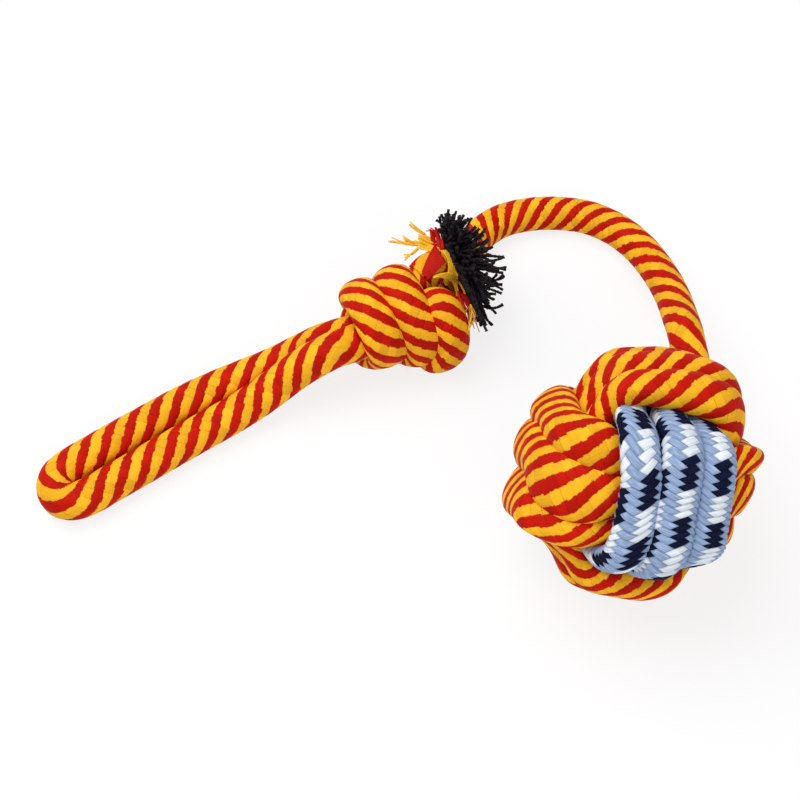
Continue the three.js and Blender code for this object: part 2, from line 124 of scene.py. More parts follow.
def smooth_line(points, pieces=24):
    """A centripetal curve through the points, in so many pieces between each two."""
    points = np.array(points)
    points = np.vstack([2 * points[0] - points[1], points, 2 * points[-1] - points[-2]])
    share = np.linspace(0, 1, pieces, endpoint=False)[:, None]
    spans = []
    for a, b, c, d in zip(points, points[1:], points[2:], points[3:]):
        before, here, after = (np.linalg.norm(step) ** 0.5 for step in (b - a, c - b, d - c))
        leaving = (c - b) + here * ((b - a) / before - (c - a) / (before + here))
        arriving = (c - b) + here * ((d - c) / after - (d - b) / (here + after))
        bend = 2 * (b - c) + leaving + arriving
        turn = 3 * (c - b) - 2 * leaving - arriving
        spans.append(b + share * (leaving + share * (turn + share * bend)))
    return np.vstack(spans + [points[-2:-1]])


def unit(rows):
    return rows / np.linalg.norm(rows, axis=-1, keepdims=True)


def headings(line):
    return unit(np.gradient(line, axis=0))


def carried_side(line, side):
    """A side that turns with the line and never twists round it."""
    sides = []
    for ahead in headings(line):
        side = unit(side - ahead * (side @ ahead))
        sides.append(side)
    return np.array(sides)


def settled(places):
    """Rope that would reach below the table is pressed flat on it."""
    height = places[:, 2]
    pressed = TABLE_GIVE * np.exp(np.minimum(height - TABLE_GIVE, 0) / TABLE_GIVE)
    places[:, 2] = np.where(height < TABLE_GIVE, pressed, height)
    return places


def make_piece(name, places, faces, weave, finishes, finish_of_face=None):
    """A piece from its points and faces, with the weave's coordinates at each face corner."""
    mesh = bpy.data.meshes.new(name)
    mesh.from_pydata(places.tolist(), [], faces)
    mesh.polygons.foreach_set("use_smooth", [True] * len(mesh.polygons))
    mesh.uv_layers.new(name="weave").data.foreach_set("uv", np.ravel(weave))
    for finish in finishes:
        mesh.materials.append(finish)
    if finish_of_face is not None:
        mesh.polygons.foreach_set("material_index", finish_of_face)
    piece = bpy.data.objects.new(name, mesh)
    bpy.context.collection.objects.link(piece)
    return piece


def square_sides(line, outs):
    """The ways out and aside at each point of the line, square to it."""
    ahead = headings(line)
    outs = unit(outs - ahead * np.sum(outs * ahead, axis=1, keepdims=True))
    return outs, np.cross(ahead, outs)


def tube_shape(line, outs, halves, reach, relief):
    """Points, faces and weave coordinates of a closed tube of that half thickness and width.

    The reach is how far along the weave each ring is, and the relief how far each of its
    points lies inside that size."""
    rows, sides = relief.shape
    outs, asides = square_sides(line, outs)
    turn = np.arange(sides) / sides
    thick = (halves[:, :1] - relief) * np.cos(2 * math.pi * turn)
    wide = (halves[:, 1:] - relief) * np.sin(2 * math.pi * turn)
    rings = line[:, None] + outs[:, None] * thick[:, :, None] + asides[:, None] * wide[:, :, None]
    places = np.vstack([rings.reshape(-1, 3), line[:1], line[-1:]])

    grids = np.meshgrid(np.arange(rows - 1), np.arange(sides), indexing="ij")
    row, side = (grid.ravel() for grid in grids)
    here, after = row * sides + side, row * sides + (side + 1) % sides
    walls = np.stack([here, after, after + sides, here + sides], axis=1)
    rim, next_rim = np.arange(sides), (np.arange(sides) + 1) % sides
    last = (rows - 1) * sides
    ends = np.stack([
        np.concatenate([np.full(sides, rows * sides), np.full(sides, rows * sides + 1)]),
        np.concatenate([next_rim, last + rim]), np.concatenate([rim, last + next_rim]),
    ], axis=1)
    left, right = side / sides, (side + 1) / sides
    low, high = reach[row] / ROPE, reach[row + 1] / ROPE
    corners = np.stack([left, low, right, low, right, high, left, high], axis=1)
    weave = np.concatenate([corners.ravel(), np.zeros(ends.size * 2)])
    return places, walls.tolist() + ends.tolist(), weave


def rope_shape(line, outs, halves, reach, stripes=STRIPES):
    """A striped rope: each stripe of its cover stands up as a low rib."""
    turn = np.arange(ROPE_SIDES) / ROPE_SIDES
    stripe = 2 * stripes * (reach[:, None] / SPIRAL + turn)
    return tube_shape(line, outs, halves, reach, RIB * np.abs(2 * (stripe % 1) - 1) ** 3)


class Field:
    """A value over a surface: a socket in a finish's nodes, which adds up as a number does."""

    def __init__(self, tree, socket=None):
        self.tree, self.socket = tree, socket

    def node(self, kind, settings=None, sockets=None, output=0):
        """A new node of that type, with its settings, then its sockets' values or links."""
        node = self.tree.nodes.new(kind)
        for setting, value in (settings or {}).items():
            setattr(node, setting, value)
        for name, value in (sockets or {}).items():
            if isinstance(value, Field):
                self.tree.links.new(value.socket, node.inputs[name])
            else:
                node.inputs[name].default_value = value
        return Field(self.tree, node.outputs[output])

    def math(self, operation, *values):
        return self.node("ShaderNodeMath", {"operation": operation}, dict(enumerate(values)))

    def __add__(self, other):
        return self.math("ADD", self, other)

    __radd__ = __add__

    def __sub__(self, other):
        return self.math("SUBTRACT", self, other)

    def __rsub__(self, other):
        return self.math("SUBTRACT", other, self)

    def __mul__(self, other):
        return self.math("MULTIPLY", self, other)

    __rmul__ = __mul__

    def __pow__(self, other):
        return self.math("POWER", self, other)

    def __rpow__(self, other):
        return self.math("POWER", other, self)

    def __mod__(self, other):
        return self.math("FLOORED_MODULO", self, other)

    def __rmod__(self, other):
        return self.math("FLOORED_MODULO", other, self)

    def __gt__(self, other):
        return self.math("GREATER_THAN", self, other)

    def __lt__(self, other):
        return self.math("LESS_THAN", self, other)

    def __abs__(self):
        return self.math("ABSOLUTE", self)

    def whole(self):
        return self.math("FLOOR", self)

    def vector(self, x, y, z=0.0):
        return self.node("ShaderNodeCombineXYZ", None, {"X": x, "Y": y, "Z": z})

    def chance(self, x, y, seed):
        """A number from 0 to 1 that is its own for each x, y and seed."""
        return self.node("ShaderNodeTexWhiteNoise", None, {"Vector": self.vector(x, y, seed)})

    def grain(self, vector, scale):
        return self.node("ShaderNodeTexNoise", None, {"Vector": vector, "Scale": scale, "Detail": 3.0})

    def mix(self, share, first, second, blend="MIX"):
        settings = {"data_type": "RGBA", "blend_type": blend}
        return self.node("ShaderNodeMix", settings, {0: share, 6: first, 7: second}, output=2)

    def ramp(self, low, high, to_low=0.0, to_high=1.0):
        sockets = {"Value": self, "From Min": low, "From Max": high, "To Min": to_low, "To Max": to_high}
        return self.node("ShaderNodeMapRange", {"interpolation_type": "SMOOTHSTEP"}, sockets)

    def weave(self):
        """The weave's two coordinates: round or across the piece, and along it."""
        both = self.node("ShaderNodeUVMap", {"uv_map": "weave"})
        return [self.node("ShaderNodeSeparateXYZ", None, {0: both}, output=axis) for axis in ("X", "Y")]

    def shaded(self, shade):
        """This colour, darker or lighter by the shade."""
        grey = self.node("ShaderNodeCombineColor", None, {0: shade, 1: shade, 2: shade})
        return self.mix(1.0, self, grey, "MULTIPLY")

    def bump(self, strength, distance):
        """This height as the tilt of the surface."""
        return self.node("ShaderNodeBump", None, {"Height": self, "Strength": strength, "Distance": distance})


def tint(red, green, blue):
    """A colour as a picture gives it, as the light that it stands for."""
    parts = [part / 255 for part in (red, green, blue)]
    return (*(p / 12.92 if p <= 0.04045 else ((p + 0.055) / 1.055) ** 2.4 for p in parts), 1.0)


def new_finish(name, **constants):
    """A finish with its plain values set, its nodes to build on, and its shader."""
    finish = bpy.data.materials.new(name)
    finish.use_nodes = True
    tree = finish.node_tree
    tree.nodes.clear()
    shader = tree.nodes.new("ShaderNodeBsdfPrincipled")
    result = tree.nodes.new("ShaderNodeOutputMaterial")
    tree.links.new(shader.outputs[0], result.inputs["Surface"])
    for socket, value in constants.items():
        shader.inputs[socket.replace("_", " ")].default_value = value
    return finish, Field(tree), shader


def feed(shader, socket, field):
    field.tree.links.new(field.socket, shader.inputs[socket])


RED = tint(190, 22, 6)
YELLOW = tint(247, 180, 36)
SHEEN = 0.06
STEPS_A_CELL = 1.7
STEP_SIZE = 0.15
TEETH_A_CELL = 4.0
TOOTH_SIZE = 0.08
UNCREASED = 0.65
# How dark the painted shade is in the grooves between the stripes and in the creases
GROOVE_SHADE = 0.20
CREASE_SHADE = 0.30
COVER_BUMP = 0.55
COVER_RELIEF = 0.0004


def striped_finish(name, stripes):
    """A braided cover: stripes with stepped edges, made of cells with a crease between some."""
    finish, field, shader = new_finish(name, Specular_IOR_Level=SHEEN)
    turn, reach = field.weave()
    rounds = reach * (ROPE / SPIRAL)
    stripe = (rounds + turn) * (2 * stripes)
    cell = (rounds - turn) * (2 * stripes)

    # Numbers that stay the same where the seam of the coordinates runs along the rope
    def own(across, along, seed):
        return field.chance(across + along, (across - along) % (4.0 * stripes), seed)

    row = cell.whole()
    edge = (stripe + 0.5).whole()
    step = own(edge, (cell * STEPS_A_CELL).whole(), seed=1.0) - 0.5
    tooth = own(edge, (cell * TEETH_A_CELL).whole(), seed=2.0) - 0.5
    stepped = stripe + step * STEP_SIZE + tooth * TOOTH_SIZE
    band = stepped.whole()
    is_yellow = (band % 2.0) > 0.5
    across = abs((stepped % 1.0) * 2.0 - 1.0)
    along = abs((cell % 1.0) * 2.0 - 1.0)

    creased = own(band, row, seed=3.0) > UNCREASED
    crease = along.ramp(0.90, 0.99) * creased * across.ramp(1.0, 0.86)
    groove = across.ramp(0.80, 1.0)
    fibre = field.grain(field.vector(stripe * 9.0, cell * 1.1), scale=1.0)
    tone = own(band, row, seed=4.0).ramp(0.0, 1.0, 0.86, 1.08) * fibre.ramp(0.25, 0.75, 0.92, 1.06)
    # Painted shade: the cover's own tone and grain, darker in the grooves between the stripes and in the
    # creases
    shade = tone * (1.0 - groove * GROOVE_SHADE) * (1.0 - crease * CREASE_SHADE)
    feed(shader, "Base Color", field.mix(is_yellow, RED, YELLOW).shaded(shade))
    feed(shader, "Roughness", fibre.ramp(0.2, 0.8, 0.50, 0.68))
    height = (1.0 - across ** 3.0) * 0.55 + (1.0 - along ** 6.0) * 0.22 - crease * 0.35 + fibre * 0.16
    feed(shader, "Normal", height.bump(COVER_BUMP, COVER_RELIEF))
    return finish


striped = striped_finish("striped_braid", STRIPES)

NEAR_ENTRY = [(-0.017, 0.0044, 44), (-0.0205, 0.0050, 36), (-0.024, 0.0058, 28), (-0.028, 0.0065, 22)]
FAR_ENTRY = [(-0.017, 0.0048, 184), (-0.0205, 0.0051, 190), (-0.024, 0.0053, 194), (-0.028, 0.0055, 197)]
HANDLE_ROUTE = [
    (-0.1105, 0.0558, 0.0158), (-0.118, 0.0521, 0.0116), (-0.126, 0.0475, 0.0079), (-0.135, 0.0420, 0.0060),
    (-0.1444, 0.0363), (-0.1564, 0.0283), (-0.1673, 0.0209), (-0.1761, 0.0150), (-0.1826, 0.0106),
    (-0.1878, 0.0084), (-0.1922, 0.0091), (-0.1948, 0.0128), (-0.1945, 0.0173), (-0.1911, 0.0212),
    (-0.1841, 0.0263), (-0.1748, 0.0326), (-0.1637, 0.0399), (-0.1522, 0.0472), (-0.1406, 0.0535),
    (-0.1303, 0.0584), (-0.121, 0.0622, 0.0064), (-0.112, 0.0661, 0.0085),
]
HANDLE_BENDS = [(-0.126, 0.046, 0.0076), (-0.1305, 0.0598, 0.005)]
HANDLE_FULLNESS = 1.05
BEND_REACH = 0.015
UP = np.array((0.0, 0.0, 1.0))


def free_rope(name, line, outs, reach, fullness=1.0):
    halves = np.full((len(line), 2), ROPE / 2 * fullness)
    places, faces, weave = rope_shape(line, outs, halves, reach)
    piece = make_piece(name, settled(places), faces, weave, [striped])
    return piece


handle_line, = evenly(ROPE_STEP, smooth_line([
    *(in_knot(*place) for place in NEAR_ENTRY), *on_table(HANDLE_ROUTE),
    *(in_knot(*place) for place in reversed(FAR_ENTRY)),
]))
handle_outs = carried_side(handle_line, UP)
handle = free_rope("handle_rope", handle_line, handle_outs, reaches(handle_line), HANDLE_FULLNESS)
near_bend, far_bend = on_table(HANDLE_BENDS)
bend_middle = (near_bend + far_bend) / 2
bend_reach = BEND_REACH * unit(np.cross(UP, far_bend - near_bend))
bend_middle - bend_reach
bend_middle + bend_reach
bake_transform(handle)
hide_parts("near_leg_cover", "near_leg_core", "far_leg_cover", "far_leg_core",
            "handle_loop_cover", "handle_loop_core")


# The neck: the same rope, which leaves the other end of the knot, lies in an arc on the table
# and climbs to the back of the ball. It is one length, twisted tighter at the knot than at the
# ball, and parted here in two pieces.
NECK_ENTRY = [(0.0140, 0.0062, 172), (0.0200, 0.0085, 180)]
NECK_ROUTE = [
    (-0.0545, 0.0985, 0.0112), (-0.0512, 0.1088, 0.0090), (-0.0466, 0.1182, 0.0069),
    (-0.0386, 0.1255, 0.0056), (-0.0282, 0.1288), (-0.0175, 0.1294), (-0.0058, 0.1275),
    (0.0042, 0.1216, 0.0060), (0.0117, 0.1126, 0.0079), (0.0171, 0.1007, 0.0116),
    (0.0207, 0.0863, 0.0174), (0.0220, 0.071, 0.025), (0.0226, 0.057, 0.0315),
]
ROOT_REACHES = (0.040, 0.028)
PARTING = 0.080
NECK_BENDS = [(-0.0252, 0.1282, 0.005), (0.010, 0.1114, 0.0078)]
SWING_WAY = np.array((0.95, 0.31, 0))
LIFT_WAY = np.array((0.508, -0.861, 0))
TWIST_AT_KNOT = 1.42
TWIST_AT_BALL = 0.88
TWIST_CHANGES = (0.060, 0.130)
BALL_FRONT = unit(np.array((0.16, -0.6, 0.79)))
BALL_LEFT = unit(np.cross(BALL_FRONT, (0.23, 0.8, 0.56)))
BALL_TOP = np.cross(BALL_LEFT, BALL_FRONT)
BALL_AXES = np.stack([BALL_FRONT, BALL_TOP, BALL_LEFT])

root_way = unit(np.array((-1, 1, -1)) @ BALL_AXES)
neck_line, = evenly(ROPE_STEP, smooth_line([
    *(in_knot(*place) for place in NECK_ENTRY), *on_table(NECK_ROUTE),
    *(ball_middle + reach * root_way for reach in ROOT_REACHES),
]))
neck_outs = carried_side(neck_line, UP)
neck_reach = reaches(neck_line)
neck_twist = np.interp(neck_reach, TWIST_CHANGES, (TWIST_AT_KNOT, TWIST_AT_BALL))
neck_weave = np.cumsum(neck_twist * np.gradient(neck_reach))
parting = round(PARTING / ROPE_STEP)
swing, lift = on_table(NECK_BENDS)
for name, rows, bodies, bend, way, nodes in [
    ("neck_rope_at_knot", slice(0, parting + 1), ("knot", "neck"), swing, SWING_WAY,
     ("neck_knot_cover", "neck_knot_core", "neck_middle_cover", "neck_middle_core")),
    ("neck_rope_at_ball", slice(parting, None), ("neck", "ball"), lift, LIFT_WAY,
     ("neck_ball_cover", "neck_ball_core", "neck_root")),
]:
    line = neck_line[rows]
    piece = free_rope(name, line, neck_outs[rows], neck_weave[rows])
    bend - BEND_REACH * way
    bend + BEND_REACH * way
    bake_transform(piece)
    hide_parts(*nodes)


# The knot: the handle's near leg runs through its middle, turns back over the far end and winds
# round itself and the other leg, then passes back inside and out as the rope's cut end. The wraps
# are pulled tight, so they bulge and press on each other.
SQUEEZED = 0.0072
STRAND_RING = 0.00445
WRAP_RING = 0.01305
WRAP_PITCH = 0.0132
WRAP_THICK = 0.0100
WRAP_WIDE = 0.0146
WRAP_ANGLES = range(90, 891, 15)
FIRST_WRAP = 0.0145
LAST_WRAP = -0.0135
NEAR_BULGE = 0.0070
BULGE_LOSS = 0.0046
NEAR_SHIFT = 0.0036
NEAR_WIDER = 0.0024
FIRST_UNDER = 0.0074
STATION_PIECES = 12
KNOT_TWIST = 1.01

# Where the inner strands lie round the knot's middle, in degrees from its upper side
NEAR_STRAND = 45
THROUGH_STRAND = 165
TAIL_STRAND = 1005

# Each station of a strand: along the knot, out from its middle, degrees, width and thickness
WRAPS_START = [
    (-0.0185, 0.0044, 44, 0.0118, 0.0118),
    (-0.013, STRAND_RING, NEAR_STRAND, 0.0098, 0.0098),
    (-0.004, STRAND_RING, NEAR_STRAND, SQUEEZED, SQUEEZED),
    (-0.0008, STRAND_RING, 42, SQUEEZED, SQUEEZED),
    # Out from under the middle wrap, over the end and round
    (0.0030, 0.0056, 30, 0.0086, 0.0084),
    (0.0066, 0.0082, 14, 0.0108, 0.0092),
    (0.0098, 0.0110, 6, 0.0130, 0.0098),
    (0.0119, 0.0134, 15, 0.0140, WRAP_THICK),
    (0.0123, 0.0156, 38, 0.0144, WRAP_THICK),
    (0.0114, 0.0182, 65, 0.0146, WRAP_THICK),
]
WRAPS_END = [
    # In again behind the last wrap, and through to the cut end
    (-0.0133, 0.0124, 910, 0.0130, 0.0096),
    (-0.0122, 0.0096, 945, 0.0108, 0.0088),
    (-0.0098, 0.0066, 978, 0.0090, 0.0082),
    (-0.0068, 0.0048, 997, 0.0080, 0.0076),
    (-0.0030, STRAND_RING, TAIL_STRAND, SQUEEZED, SQUEEZED),
    (0.0010, STRAND_RING, TAIL_STRAND, SQUEEZED, SQUEEZED),
    (0.0060, 0.0058, TAIL_STRAND, 0.0086, 0.0084),
    (0.0105, 0.0088, TAIL_STRAND, 0.0108, 0.0106),
    (0.0150, 0.0110, TAIL_STRAND, 0.0118, 0.0118),
]
THROUGH = [
    (-0.0185, 0.0049, 186, 0.0118, 0.0118),
    (-0.013, STRAND_RING, 172, 0.0098, 0.0098),
    (0, STRAND_RING, THROUGH_STRAND, SQUEEZED, SQUEEZED),
    (0.0060, STRAND_RING, 166, SQUEEZED, SQUEEZED),
    (0.0110, 0.0052, 169, 0.0086, 0.0086),
    (0.0155, 0.0068, 174, 0.0104, 0.0104),
    (0.0195, 0.0083, 179, 0.0118, 0.0118),
]

# Five pairs of stripes show round these strands, which are pulled tight, and four round the free rope
TIGHT_STRIPES = 5
tight_striped = striped_finish("tight_striped_braid", TIGHT_STRIPES)


def knot_station(along, out, degrees, wide, thick):
    return (*in_knot(along, out, degrees), *knot_side(degrees), thick / 2, wide / 2)


def wrap_station(degrees):
    """A wrap lies square to the knot on top and steps over to its next place underneath.

    On the near side the first wraps bulge out further than the last."""
    turns = degrees / 360
    since_first = turns - WRAP_ANGLES[0] / 360
    step = turns - math.sin(2 * math.pi * turns) / (2 * math.pi)
    near = max(0, math.sin(2 * math.pi * turns)) ** 2
    bulge = (NEAR_BULGE - BULGE_LOSS * since_first) * near
    along = max(FIRST_WRAP - WRAP_PITCH * step, LAST_WRAP) + NEAR_SHIFT * near
    along = along - FIRST_UNDER * max(0, 1 - 2 * since_first)
    return knot_station(along, WRAP_RING + bulge, degrees, WRAP_WIDE + NEAR_WIDER * near, WRAP_THICK)


def strand_piece(name, node, stations, start):
    """A knot strand, smooth through its stations, whose weave starts that far along."""
    stations = np.array(stations)
    line = smooth_line(stations[:, :3], STATION_PIECES)
    share = np.linspace(0, len(stations) - 1, len(line))
    columns = [np.interp(share, range(len(stations)), column) for column in stations[:, 3:].T]
    line, rest = evenly(ROPE_STEP, line, np.stack(columns, axis=1))
    reach = start + KNOT_TWIST * reaches(line)
    places, faces, weave = rope_shape(line, rest[:, :3], rest[:, 3:], reach, TIGHT_STRIPES)
    piece = make_piece(name, settled(places), faces, weave, [tight_striped])
    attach(piece, "knot")
    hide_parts(node)
    return piece


knot_wraps = strand_piece("knot_wraps", "knot_turns", [
    *(knot_station(*station) for station in WRAPS_START),
    *(wrap_station(degrees) for degrees in WRAP_ANGLES),
    *(knot_station(*station) for station in WRAPS_END),
], start=0.004)
strand_piece("knot_inner_strand", "knot_through_strand", [
    knot_station(*station) for station in THROUGH
], start=0.002)


# The ball: three bands of three turns wound at right angles round a filler, each over one
# neighbour and under the other. Two bands are the striped rope, packed so that the strands touch.
BAND_PITCH = 0.0114
BAND_DROP = 0.0018
BAND_TURNS = 3
BAND_POINTS = 6000
INNER_REACH = 0.0246
OUTER_REACH = 0.0350
SQUARENESS = 4.5
TUCK_REACH = 0.017
SWELLS_OVER = 0.005
STRAND_HALVES = np.array((0.0056, 0.0069))
TUCKED_HALVES = np.array((0.0051, 0.0064))
BALL_REACH = OUTER_REACH + STRAND_HALVES[0]
FRONT_HALF = 0.019
CAP_TWIST = 1.06
SIDE_TWIST = 1.08

# How far the pull has turned, narrowed and moved each part: degrees, shares and metres
CAP_LEAN = 14
LEFT_TURN = 13
RIGHT_TAPER = 0.23
LOW_RIGHT_TAPER = 0.11
LOW_LEFT_TAPER = 0.28
HIGH_LEFT_TAPER = 0.15
MIDDLE_LEFT_TAPER = 0.05
LEFT_DROP = 0.005
RIGHT_RISE = 0.0035
FRONT_RISE = 0.0050
LEFT_RISE = 0.0035
TOP_RISE = 0.0026
FRONT_PUSH = 0.0037
PUSH_SLOPE = 0.13
PUSH_FOOT = -0.014


def rounded(value):
    return np.sign(value) * np.abs(value) ** (2 / SQUARENESS)


def eased(value, low, high):
    """From 0 at low to 1 at high, smoothly."""
    share = np.clip((value - low) / (high - low), 0, 1)
    return share * share * (3 - 2 * share)


def band_route():
    """One band's line in its own axes, with the side that faces out and its half sizes."""
    tuck = math.acos((TUCK_REACH / OUTER_REACH) ** (SQUARENESS / 2))
    angle = np.linspace(-tuck, 2 * math.pi * (BAND_TURNS - 1) + math.pi + tuck, BAND_POINTS)
    ahead = OUTER_REACH * rounded(np.cos(angle))
    under = (np.sin(angle) < 0) & (np.abs(ahead) < TUCK_REACH)
    turn = np.floor((angle + math.pi / 2) / (2 * math.pi)) - (BAND_TURNS - 1) / 2
    turn = turn + under * (ahead / (2 * TUCK_REACH) + np.where(ahead < 0, 0.5, -0.5))
    drop = BAND_DROP * np.minimum(1, np.abs(turn))
    outer = (OUTER_REACH - drop) * rounded(np.cos(angle))
    inner = (INNER_REACH - drop) * rounded(np.sin(angle))
    line = np.stack([outer, inner, turn * BAND_PITCH], axis=1)
    seen = eased(np.abs(outer), TUCK_REACH, TUCK_REACH + SWELLS_OVER)[:, None]
    halves = TUCKED_HALVES + seen * (STRAND_HALVES - TUCKED_HALVES)
    return line, line * (1, 1, 0), halves


def in_ball(rows, place):
    """From a band's own axes to the toy's, for the first, second or third band."""
    return np.roll(rows, place, axis=1) @ BALL_AXES


def pulled_tight(places):
    """The ball as it was pulled tight by hand: the cap leans over the front, the left side is
    turned down towards it, and the front and the lower right are pushed aside."""
    front, top, left = ((places - ball_middle) @ BALL_AXES.T).T
    turn, out = np.degrees(np.arctan2(top, front)), np.hypot(top, front)
    far_right = eased(-left, 0.014, 0.027)
    lean = CAP_LEAN * eased(turn, -50, 70) * (1 - eased(turn, 70, 150))
    lean = lean * (1 - far_right * (1 - eased(turn, 30, 110)))
    down = LEFT_TURN * eased(turn, -110, -20) * (1 - eased(turn, -20, 36)) * eased(left, -0.002, 0.020)
    turn = np.radians(turn - lean - down)
    front, top = out * np.cos(turn), out * np.sin(turn)

    # Both sides are drawn in
    right_in = RIGHT_TAPER * eased(top, 0.030, -0.020) + LOW_RIGHT_TAPER * eased(top, -0.012, -0.034)
    left_in = LOW_LEFT_TAPER * eased(top, -0.016, -0.036) + HIGH_LEFT_TAPER * eased(top, 0.006, 0.024)
    left_in = left_in + MIDDLE_LEFT_TAPER * eased(top, -0.014, -0.004)

    # Some strands are pulled down or up from their places
    on_front = eased(front, 0.010, 0.029)
    left_drop = LEFT_DROP * eased(top, -0.004, -0.016) * eased(left, 0.012, 0.030)
    left_drop = left_drop * (1 - eased(top, -0.016, -0.032))
    right_rise = RIGHT_RISE * eased(-left, 0.016, 0.030) * eased(top, -0.020, 0.002)
    right_rise = right_rise * (1 - eased(top, 0.008, 0.022))
    front_rise = FRONT_RISE * on_front * eased(-left, 0.003, 0.013) * eased(top, -0.008, -0.026)
    left_rise = LEFT_RISE * eased(left, 0.012, 0.026) * eased(top, -0.002, 0.010)
    left_rise = left_rise * (1 - eased(top, 0.018, 0.032))
    top_rise = TOP_RISE * eased(top, 0.022, 0.036) * eased(-left, -0.014, 0.006)
    raised = top - left_drop + (right_rise + front_rise + left_rise + top_rise)

    # The front strands are pushed to the right, and what lies beyond them has less room
    push = FRONT_PUSH - PUSH_SLOPE * np.maximum(top, PUSH_FOOT)
    right = np.maximum(-left, 0)
    room = (BALL_REACH * (1 - right_in) - FRONT_HALF - push) / (BALL_REACH - FRONT_HALF)
    pushed = np.minimum(right, FRONT_HALF) + push + np.maximum(right - FRONT_HALF, 0) * room
    squeezed = right * (1 - right_in)
    to_right = squeezed + on_front * (pushed - squeezed)
    left = np.maximum(left, 0) * (1 - (1 - on_front) * left_in) - to_right
    return ball_middle + np.stack([front, raised, left], axis=1) @ BALL_AXES


band_line, band_outs, band_halves = band_route()
for name, place, twist, stripes, finish, node in [
    ("cap_strands", 1, CAP_TWIST, STRIPES, striped, "cap_winding"),
    ("side_strands", 2, SIDE_TWIST, TIGHT_STRIPES, tight_striped, "side_winding"),
]:
    line, outs, halves = evenly(ROPE_STEP, band_line, band_outs, band_halves)
    reach = twist * reaches(line)
    line = ball_middle + in_ball(line, place)
    places, faces, weave = rope_shape(line, in_ball(outs, place), halves, reach, stripes)
    piece = make_piece(name, settled(pulled_tight(places)), faces, weave, [finish])
    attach(piece, "ball")
    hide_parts(node)


# The third band: a softer rope braided from flat carriers, light blue one way round and navy
# and white in fours the other way. Each carrier passes over two and under two.
CARRIERS = 8
CELL_CUTS = 5
CARRIER_RISE = 0.00045
BRAID_LEAD = 0.0205
UPPER_SPREAD = 0.0024
# How dark the painted shade is along each carrier's edges and at its ends, where it passes under
EDGE_SHADE = 0.30
END_SHADE = 0.25
CARRIER_BUMP = 0.4
CARRIER_RELIEF = 0.0003
ROUNDING = 1e-6


def carrier_finish(name, colour, lighter):
    """Flat bundles of filaments that lie side by side along each carrier."""
    finish, field, shader = new_finish(name, Specular_IOR_Level=SHEEN)
    across, along = field.weave()
    filament = field.grain(field.vector(across * 7.0, along * 0.7), scale=1.0)
    # A carrier shows for two cells before it passes under
    shown = along * 0.5
    tone = field.chance(across.whole(), shown.whole(), seed=5.0)
    # Painted shade: each carrier is darker along its edges beside its neighbours, and at its ends, where it
    # passes under
    edge = abs((across % 1.0) * 2.0 - 1.0).ramp(0.72, 1.0)
    end = abs((shown % 1.0) * 2.0 - 1.0).ramp(0.80, 1.0)
    shade = filament.ramp(0.2, 0.8, 0.86, 1.06) * tone.ramp(0.0, 1.0, 0.92, 1.04)
    shade = shade * (1.0 - edge * EDGE_SHADE) * (1.0 - end * END_SHADE)
    bundle = field.mix(filament.ramp(0.35, 0.75), colour, lighter)
    feed(shader, "Base Color", bundle.shaded(shade))
    feed(shader, "Roughness", filament.ramp(0.2, 0.8, 0.55, 0.75))
    feed(shader, "Normal", filament.bump(CARRIER_BUMP, CARRIER_RELIEF))
    return finish


carriers = [
    carrier_finish("light_blue_carrier", tint(138, 162, 198), tint(172, 191, 225)),
    carrier_finish("navy_carrier", tint(7, 11, 36), tint(20, 26, 58)),
    carrier_finish("white_carrier", tint(226, 234, 244), tint(240, 246, 252)),
]


def braid_shape(line, outs, halves):
    """A braided rope on a grid of the carriers' crossings, cut finer, closed at both ends."""
    outs, asides = square_sides(line, outs)
    ring, cuts, rows = CARRIERS * CELL_CUTS, CELL_CUTS, len(line)
    row, place = np.meshgrid(np.arange(rows), np.arange(ring), indexing="ij")
    first, second = place / cuts, (place + row) / cuts
    i, j = np.floor(first + ROUNDING).astype(int), np.floor(second + ROUNDING).astype(int)
    step = (i + j) % 4
    upper = step < 2
    across = np.where(upper, first - i, second - j)
    along = np.where(upper, second - j + step, first - i + (step - 2))
    rise = (1 - np.abs(2 * across - 1) ** 4) * (1 - np.abs(along - 1) ** 6)
    turn = -2 * math.pi * (2 * place + row) / (2 * ring)
    thick = (halves[row, 0] + CARRIER_RISE * (rise - 1))[:, :, None]
    wide = (halves[row, 1] + CARRIER_RISE * (rise - 1))[:, :, None]
    outward = outs[row] * thick * np.cos(turn)[:, :, None]
    sideways = asides[row] * wide * np.sin(turn)[:, :, None]
    rings = line[row] + outward + sideways
    places = np.vstack([rings.reshape(-1, 3), line[:1], line[-1:]])

    def corner_at(r, m):
        return r * ring + m % ring

    faces, weave, finishes = [], [], []
    for r in range(1, rows - 1):
        for m in range(ring):
            # The cell's corners lie on three rings: behind, beside and ahead
            faces.append((corner_at(r, m), corner_at(r + 1, m), corner_at(r, m + 1), corner_at(r - 1, m + 1)))
            i_cell, j_cell = m // cuts, (m + r) // cuts
            step_cell = (i_cell + j_cell) % 4
            a, b = m / cuts, (m + r) / cuts
            cut = 1 / cuts
            if step_cell < 2:
                finishes.append(0)
                base = b - j_cell + step_cell
                corners = [(a, base), (a, base + cut), (a + cut, base + cut), (a + cut, base)]
            else:
                finishes.append(1 + (j_cell // 4) % 2)
                base = a - i_cell + step_cell - 2
                corners = [(b, base), (b + cut, base), (b + cut, base + cut), (b, base + cut)]
            weave += [number for corner in corners for number in corner]
    start, end = rows * ring, rows * ring + 1
    for m in range(ring):
        faces.append((start, corner_at(1, m), corner_at(0, m + 1)))
        faces.append((start, corner_at(0, m), corner_at(1, m)))
        faces.append((end, corner_at(rows - 2, m + 1), corner_at(rows - 1, m)))
        faces.append((end, corner_at(rows - 1, m + 1), corner_at(rows - 2, m + 1)))
        weave += [0.0] * 24
        finishes += [0] * 4
    return places, faces, weave, finishes


